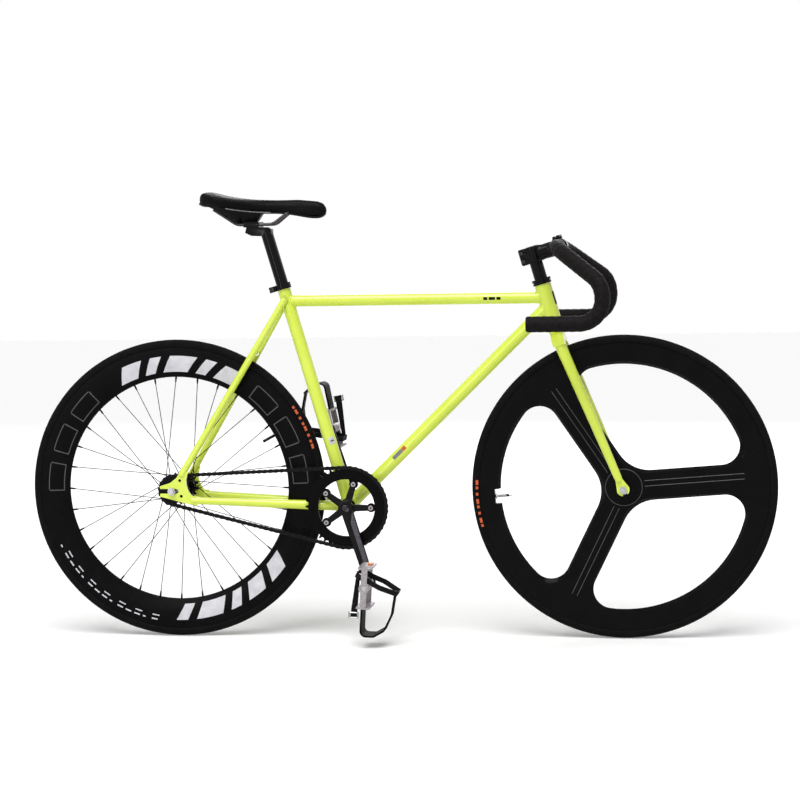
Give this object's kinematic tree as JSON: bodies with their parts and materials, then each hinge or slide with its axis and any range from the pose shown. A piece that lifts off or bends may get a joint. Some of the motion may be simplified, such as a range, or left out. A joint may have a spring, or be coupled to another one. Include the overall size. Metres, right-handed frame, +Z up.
{
  "type": "fixed gear bicycle",
  "caption": "Track-style bicycle with a straight-tube frame, drop bar, deep spoked rear wheel, cast three-spoke front wheel, single chain drive and cage pedals with toe clips.",
  "frame": {"origin": "on the ground, midway between the two axles, in the bicycle's middle plane", "axes": "+X is forward, +Z is up, and the drive side faces -Y"},
  "size_m": [1.6639, 0.4344, 0.9951],
  "materials": {
    "yellow_paint": "gloss neon yellow",
    "black_alloy": "black anodised",
    "black_steel": "black",
    "bright_steel": "plated",
    "grey_alloy": "cast grey",
    "black_composite": "satin black",
    "black_plastic": "matte black",
    "tyre_rubber": "black rubber",
    "tube_rubber": "black rubber",
    "bar_wrap": "wrapped black tape",
    "saddle_skin": "smooth black cover",
    "strap_web": "black woven strap"
  },
  "bodies": {
    "frame": {"bottom_bracket_shell": "yellow_paint", "head_tube": "yellow_paint", "seat_tube": "yellow_paint", "top_tube": "yellow_paint", "down_tube": "yellow_paint", "rear_dropouts": "yellow_paint", "chain_stays": "yellow_paint", "seat_stays": "yellow_paint", "bottom_bracket_cups": "black_steel", "rear_axle": "bright_steel", "rear_axle_nuts": "bright_steel", "headset_cups": "black_alloy", "seat_collar": "black_alloy", "seat_collar_bolt": "bright_steel", "chain": "black_steel"},
    "seat": {"seatpost": "black_alloy", "rail_clamp": "black_alloy", "saddle_rails": "bright_steel", "saddle_base": "black_plastic", "saddle_cover": "saddle_skin"},
    "steering": {"headset_bearings": "bright_steel", "headset_nuts": "black_alloy", "fork_crown": "yellow_paint", "fork_blades": "yellow_paint", "stem_adapter": "black_alloy", "stem": "black_alloy", "stem_faceplate": "black_alloy", "stem_bolts": "bright_steel", "handlebar": "black_alloy", "bar_tape": "bar_wrap", "bar_end_plugs": "black_plastic", "front_axle": "bright_steel", "front_axle_nuts": "bright_steel"},
    "front_wheel": {"front_wheel_casting": "black_composite", "front_inner_tube": "tube_rubber", "front_hub_bearings": "bright_steel", "front_tyre": "tyre_rubber"},
    "rear_wheel": {"rear_hub_shell": "black_alloy", "rear_hub_bearings": "bright_steel", "rear_rim": "black_alloy", "rear_tyre": "tyre_rubber", "rear_inner_tube": "tube_rubber", "rear_spokes": "black_steel", "fixed_cog": "black_steel", "cog_lockring": "black_steel", "freewheel_body": "black_steel"},
    "freewheel": {"freewheel_ring": "black_steel"},
    "crankset": {"crank_spindle": "bright_steel", "chainring": "black_alloy", "chainring_bolts": "bright_steel", "right_crank": "black_alloy", "left_crank": "black_alloy", "crank_bolts": "bright_steel", "pedal_spindles": "bright_steel"},
    "pedal_right": {"right_pedal": "grey_alloy", "right_toe_clip": "black_plastic", "right_toe_strap": "strap_web"},
    "pedal_left": {"left_pedal": "grey_alloy", "left_toe_clip": "black_plastic", "left_toe_strap": "strap_web"}
  },
  "joints": [
    {"name": "rear_roll", "type": "hinge", "parent": "frame", "child": "rear_wheel", "pos_m": [-0.498, 0, 0.334], "axis": [0, 1, 0], "continuous": true, "deforming": ["chain"]},
    {"name": "crank_turn", "type": "hinge", "parent": "frame", "child": "crankset", "pos_m": [-0.11041, 0, 0.2945], "axis": [0, 1, 0], "continuous": true, "deforming": ["chain"]},
    {"name": "right_pedal_turn", "type": "hinge", "parent": "crankset", "child": "pedal_right", "pos_m": [-0.05788, -0.123, 0.13282], "axis": [0, 1, 0], "continuous": true},
    {"name": "left_pedal_turn", "type": "hinge", "parent": "crankset", "child": "pedal_left", "pos_m": [-0.16295, 0.123, 0.45618], "axis": [0, 1, 0], "continuous": true},
    {"name": "freewheel_turn", "type": "hinge", "parent": "rear_wheel", "child": "freewheel", "pos_m": [-0.498, 0.046, 0.334], "axis": [0, 1, 0], "continuous": true},
    {"name": "steer", "type": "hinge", "parent": "frame", "child": "steering", "pos_m": [0.45327, 0, 0.334], "axis": [-0.2756, 0, 0.9613], "range_deg": [-110, 110]},
    {"name": "front_roll", "type": "hinge", "parent": "steering", "child": "front_wheel", "pos_m": [0.498, 0, 0.334], "axis": [0, 1, 0], "continuous": true},
    {"name": "seat_height", "type": "slide", "parent": "frame", "child": "seat", "axis": [-0.2756, 0, 0.9613], "range_m": [-0.09, 0.035]}
  ],
  "couplings": [
    {"joint": "crank_turn", "follows": "rear_roll", "ratio": 0.36364}
  ]
}
